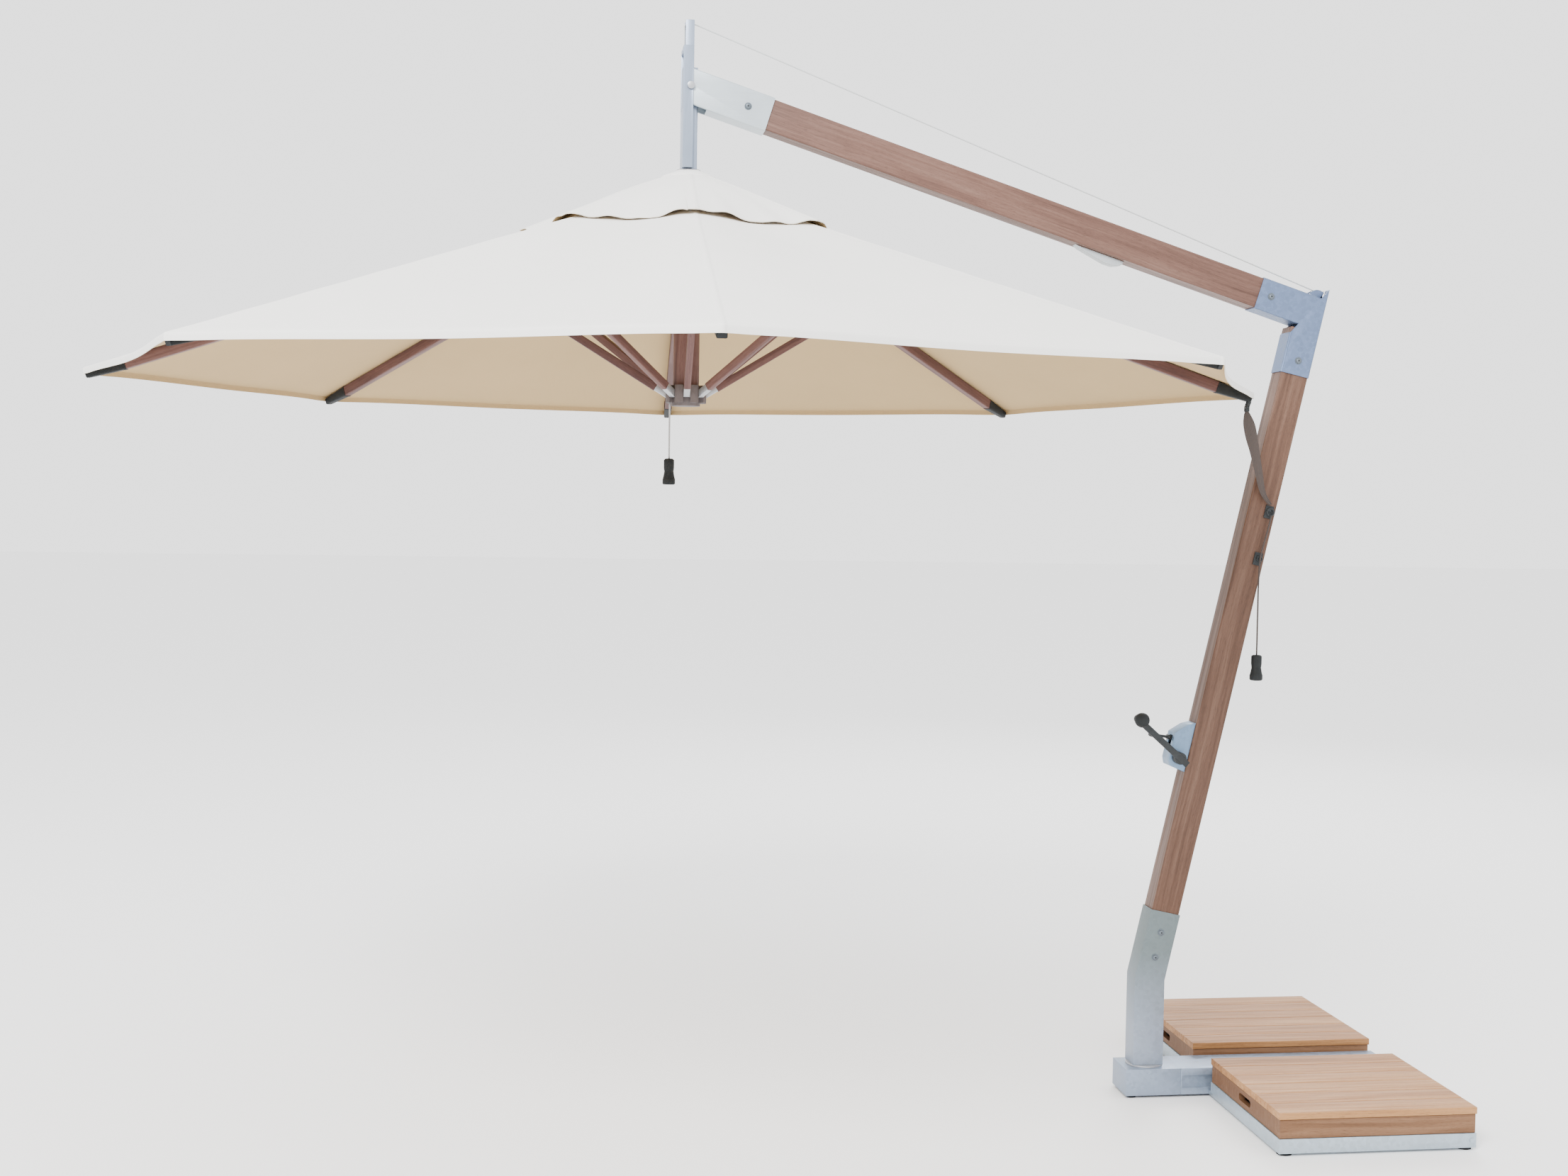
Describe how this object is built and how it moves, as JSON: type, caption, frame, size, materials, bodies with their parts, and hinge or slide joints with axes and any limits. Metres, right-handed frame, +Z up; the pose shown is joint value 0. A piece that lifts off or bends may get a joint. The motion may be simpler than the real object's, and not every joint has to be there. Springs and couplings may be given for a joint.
{
  "type": "cantilever parasol",
  "caption": "Cantilever parasol: octagonal vented canopy hung from a timber boom and leaning mast, on a swivel base with ballast trays under timber covers.",
  "frame": {"origin": "on the floor, on the swivel axis of the mast", "axes": "+Z up, +X from the mast towards the ballast, so the canopy hangs to -X; +Y to the far tray"},
  "size_m": [4.0247, 3.5096, 3.276],
  "materials": {
    "galvanised": "hot-dip galvanised, pale blue-grey spangle",
    "cleat_metal": "pale grey satin",
    "steel": "satin stainless steel",
    "bracket_metal": "pale satin aluminium",
    "post_metal": "light blue-grey satin aluminium",
    "dark_metal": "dark grey powder coat",
    "mast_timber": "oiled reddish-brown hardwood, grain along the length",
    "cover_timber": "orange-tan oiled hardwood boards",
    "rib_timber": "oiled purple-brown hardwood",
    "cloth": "off-white woven canopy cloth, tan when seen from below",
    "cord": "light grey braided cord",
    "webbing": "dark brown-grey woven webbing",
    "dark_plastic": "dark grey moulded, fine texture",
    "stone": "cast ballast slabs",
    "pad": "black pads"
  },
  "bodies": {
    "base": {"base_beam": "galvanised", "ballast_trays": "galvanised", "levelling_feet": "pad", "ballast_slabs": "stone", "swivel_spigot": "steel"},
    "cover_near": {"cover_near": "cover_timber"},
    "cover_far": {"cover_far": "cover_timber"},
    "mast": {"mast_socket": "galvanised", "mast_pole": "mast_timber", "elbow_bracket": "galvanised", "boom_pole": "mast_timber", "boom_bracket": "bracket_metal", "frame_bolts": "steel", "hoist_line": "cord", "winch_housing": "galvanised", "strap_ring": "dark_metal", "tilt_cord": "webbing", "tilt_toggle": "dark_plastic", "boom_cleat": "cleat_metal", "tilt_pin": "steel"},
    "elbow_sheave": {"elbow_sheave": "dark_plastic"},
    "winch": {"winch_drum": "steel", "winch_crank": "dark_metal"},
    "crank_knob": {"crank_knob": "dark_plastic"},
    "ratchet_lever": {"ratchet_lever": "dark_metal"},
    "king_post": {"king_post": "post_metal", "king_head": "post_metal", "crown_hub": "dark_metal"},
    "head_sheave": {"head_sheave": "dark_plastic"},
    "runner": {"runner_hub": "dark_plastic", "runner_sleeve": "rib_timber", "guide_tube": "steel", "pull_cord": "cord", "pull_handle": "dark_plastic"},
    "shackle": {"strap_shackle": "steel"},
    "strap": {"tilt_strap": "webbing"},
    "rib_1": {"rib_1": "rib_timber", "canopy_1": "cloth"},
    "strut_1": {"strut_1": "rib_timber"},
    "rib_2": {"rib_2": "rib_timber", "canopy_2": "cloth"},
    "strut_2": {"strut_2": "rib_timber"},
    "rib_3": {"rib_3": "rib_timber", "canopy_3": "cloth"},
    "strut_3": {"strut_3": "rib_timber"},
    "rib_4": {"rib_4": "rib_timber", "canopy_4": "cloth"},
    "strut_4": {"strut_4": "rib_timber"},
    "rib_5": {"rib_5": "rib_timber", "canopy_5": "cloth"},
    "strut_5": {"strut_5": "rib_timber"},
    "rib_6": {"rib_6": "rib_timber", "canopy_6": "cloth"},
    "strut_6": {"strut_6": "rib_timber"},
    "rib_7": {"rib_7": "rib_timber", "canopy_7": "cloth"},
    "strut_7": {"strut_7": "rib_timber"},
    "rib_8": {"rib_8": "rib_timber", "canopy_8": "cloth"},
    "strut_8": {"strut_8": "rib_timber"}
  },
  "joints": [
    {"name": "mast_swivel", "type": "hinge", "parent": "base", "child": "mast", "pos_m": [0, 0, 0.2], "axis": [0, 0, 1], "continuous": true},
    {"name": "cover_near_lift", "type": "slide", "parent": "base", "child": "cover_near", "axis": [0, 0, 1], "range_m": [0, 0.15]},
    {"name": "cover_far_lift", "type": "slide", "parent": "base", "child": "cover_far", "axis": [0, 0, 1], "range_m": [0, 0.15]},
    {"name": "canopy_tilt", "type": "hinge", "parent": "mast", "child": "king_post", "pos_m": [-1.47891, 0, 3.07784], "axis": [0, 1, 0], "range_deg": [0, 6], "deforming": ["hoist_line"]},
    {"name": "runner_slide", "type": "slide", "parent": "king_post", "child": "runner", "axis": [0, 0, 1], "range_m": [-0.7144, 0], "deforming": ["canopy_1", "canopy_2", "canopy_3", "canopy_4", "canopy_5", "canopy_6", "canopy_7", "canopy_8"]},
    {"name": "rib_1_fold", "type": "hinge", "parent": "king_post", "child": "rib_1", "pos_m": [-1.41896, -0.00251, 2.75147], "axis": [0.0419, 0.9991, 0], "range_deg": [0, 68]},
    {"name": "rib_2_fold", "type": "hinge", "parent": "king_post", "child": "rib_2", "pos_m": [-1.43474, 0.04061, 2.75147], "axis": [-0.6769, 0.7361, 0], "range_deg": [0, 68]},
    {"name": "rib_3_fold", "type": "hinge", "parent": "king_post", "child": "rib_3", "pos_m": [-1.4764, 0.05995, 2.75147], "axis": [-0.9991, 0.0419, 0], "range_deg": [0, 68]},
    {"name": "rib_4_fold", "type": "hinge", "parent": "king_post", "child": "rib_4", "pos_m": [-1.51952, 0.04417, 2.75147], "axis": [-0.7361, -0.6769, 0], "range_deg": [0, 68]},
    {"name": "rib_5_fold", "type": "hinge", "parent": "king_post", "child": "rib_5", "pos_m": [-1.53886, 0.00251, 2.75147], "axis": [-0.0419, -0.9991, 0], "range_deg": [0, 68]},
    {"name": "rib_6_fold", "type": "hinge", "parent": "king_post", "child": "rib_6", "pos_m": [-1.52308, -0.04061, 2.75147], "axis": [0.6769, -0.7361, 0], "range_deg": [0, 68]},
    {"name": "rib_7_fold", "type": "hinge", "parent": "king_post", "child": "rib_7", "pos_m": [-1.48142, -0.05995, 2.75147], "axis": [0.9991, -0.0419, 0], "range_deg": [0, 68]},
    {"name": "rib_8_fold", "type": "hinge", "parent": "king_post", "child": "rib_8", "pos_m": [-1.4383, -0.04417, 2.75147], "axis": [0.7361, 0.6769, 0], "range_deg": [0, 68]},
    {"name": "strut_1_fold", "type": "hinge", "parent": "rib_1", "child": "strut_1", "pos_m": [-0.84293, -0.02666, 2.5206], "axis": [0.0419, 0.9991, 0], "range_deg": [-125.6, 0]},
    {"name": "strut_2_fold", "type": "hinge", "parent": "rib_2", "child": "strut_2", "pos_m": [-1.01036, 0.43086, 2.5206], "axis": [-0.6769, 0.7361, 0], "range_deg": [-125.6, 0]},
    {"name": "strut_3_fold", "type": "hinge", "parent": "rib_3", "child": "strut_3", "pos_m": [-1.45226, 0.63598, 2.5206], "axis": [-0.9991, 0.0419, 0], "range_deg": [-125.6, 0]},
    {"name": "strut_4_fold", "type": "hinge", "parent": "rib_4", "child": "strut_4", "pos_m": [-1.90977, 0.46855, 2.5206], "axis": [-0.7361, -0.6769, 0], "range_deg": [-125.6, 0]},
    {"name": "strut_5_fold", "type": "hinge", "parent": "rib_5", "child": "strut_5", "pos_m": [-2.11489, 0.02666, 2.5206], "axis": [-0.0419, -0.9991, 0], "range_deg": [-125.6, 0]},
    {"name": "strut_6_fold", "type": "hinge", "parent": "rib_6", "child": "strut_6", "pos_m": [-1.94746, -0.43086, 2.5206], "axis": [0.6769, -0.7361, 0], "range_deg": [-125.6, 0]},
    {"name": "strut_7_fold", "type": "hinge", "parent": "rib_7", "child": "strut_7", "pos_m": [-1.50557, -0.63598, 2.5206], "axis": [0.9991, -0.0419, 0], "range_deg": [-125.6, 0]},
    {"name": "strut_8_fold", "type": "hinge", "parent": "rib_8", "child": "strut_8", "pos_m": [-1.04805, -0.46855, 2.5206], "axis": [0.7361, 0.6769, 0], "range_deg": [-125.6, 0]},
    {"name": "winch_turn", "type": "hinge", "parent": "mast", "child": "winch", "pos_m": [0.07592, 0, 1.06723], "axis": [0, 1, 0], "range_deg": [-2275, 0]},
    {"name": "knob_spin", "type": "hinge", "parent": "winch", "child": "crank_knob", "pos_m": [-0.0666, -0.09, 1.19288], "axis": [0, 1, 0], "continuous": true},
    {"name": "ratchet_flip", "type": "hinge", "parent": "mast", "child": "ratchet_lever", "pos_m": [0.05669, 0, 1.12789], "axis": [0, 1, 0], "range_deg": [0, 25]},
    {"name": "elbow_sheave_turn", "type": "hinge", "parent": "mast", "child": "elbow_sheave", "pos_m": [0.50073, 0, 2.50929], "axis": [0, 1, 0], "range_deg": [-1, 1678.5]},
    {"name": "head_sheave_turn", "type": "hinge", "parent": "king_post", "child": "head_sheave", "pos_m": [-1.48141, 0, 3.258], "axis": [0, 1, 0], "range_deg": [-1, 2843.5]},
    {"name": "shackle_turn", "type": "hinge", "parent": "rib_1", "child": "shackle", "pos_m": [0.25756, -0.07278, 2.163], "axis": [0.0419, 0.9991, 0], "range_deg": [-41.3, 0]},
    {"name": "strap_swing", "type": "hinge", "parent": "shackle", "child": "strap", "pos_m": [0.25756, -0.07278, 2.153], "axis": [0.0419, 0.9991, 0], "range_deg": [-51, 0]}
  ],
  "couplings": [
    {"joint": "rib_1_fold", "follows": "runner_slide", "rad_per_m": -1.6491},
    {"joint": "strut_1_fold", "follows": "runner_slide", "rad_per_m": 3.0562},
    {"joint": "rib_2_fold", "follows": "runner_slide", "rad_per_m": -1.6491},
    {"joint": "strut_2_fold", "follows": "runner_slide", "rad_per_m": 3.0562},
    {"joint": "rib_3_fold", "follows": "runner_slide", "rad_per_m": -1.6491},
    {"joint": "strut_3_fold", "follows": "runner_slide", "rad_per_m": 3.0562},
    {"joint": "rib_4_fold", "follows": "runner_slide", "rad_per_m": -1.6491},
    {"joint": "strut_4_fold", "follows": "runner_slide", "rad_per_m": 3.0562},
    {"joint": "rib_5_fold", "follows": "runner_slide", "rad_per_m": -1.6491},
    {"joint": "strut_5_fold", "follows": "runner_slide", "rad_per_m": 3.0562},
    {"joint": "rib_6_fold", "follows": "runner_slide", "rad_per_m": -1.6491},
    {"joint": "strut_6_fold", "follows": "runner_slide", "rad_per_m": 3.0562},
    {"joint": "rib_7_fold", "follows": "runner_slide", "rad_per_m": -1.6491},
    {"joint": "strut_7_fold", "follows": "runner_slide", "rad_per_m": 3.0562},
    {"joint": "rib_8_fold", "follows": "runner_slide", "rad_per_m": -1.6491},
    {"joint": "strut_8_fold", "follows": "runner_slide", "rad_per_m": 3.0562},
    {"joint": "winch_turn", "follows": "runner_slide", "rad_per_m": 55.556},
    {"joint": "elbow_sheave_turn", "follows": "runner_slide", "rad_per_m": -40.984},
    {"joint": "head_sheave_turn", "follows": "runner_slide", "rad_per_m": -69.444},
    {"joint": "strap_swing", "follows": "runner_slide", "rad_per_m": 1.2337},
    {"joint": "shackle_turn", "follows": "canopy_tilt", "ratio": -6.8}
  ]
}
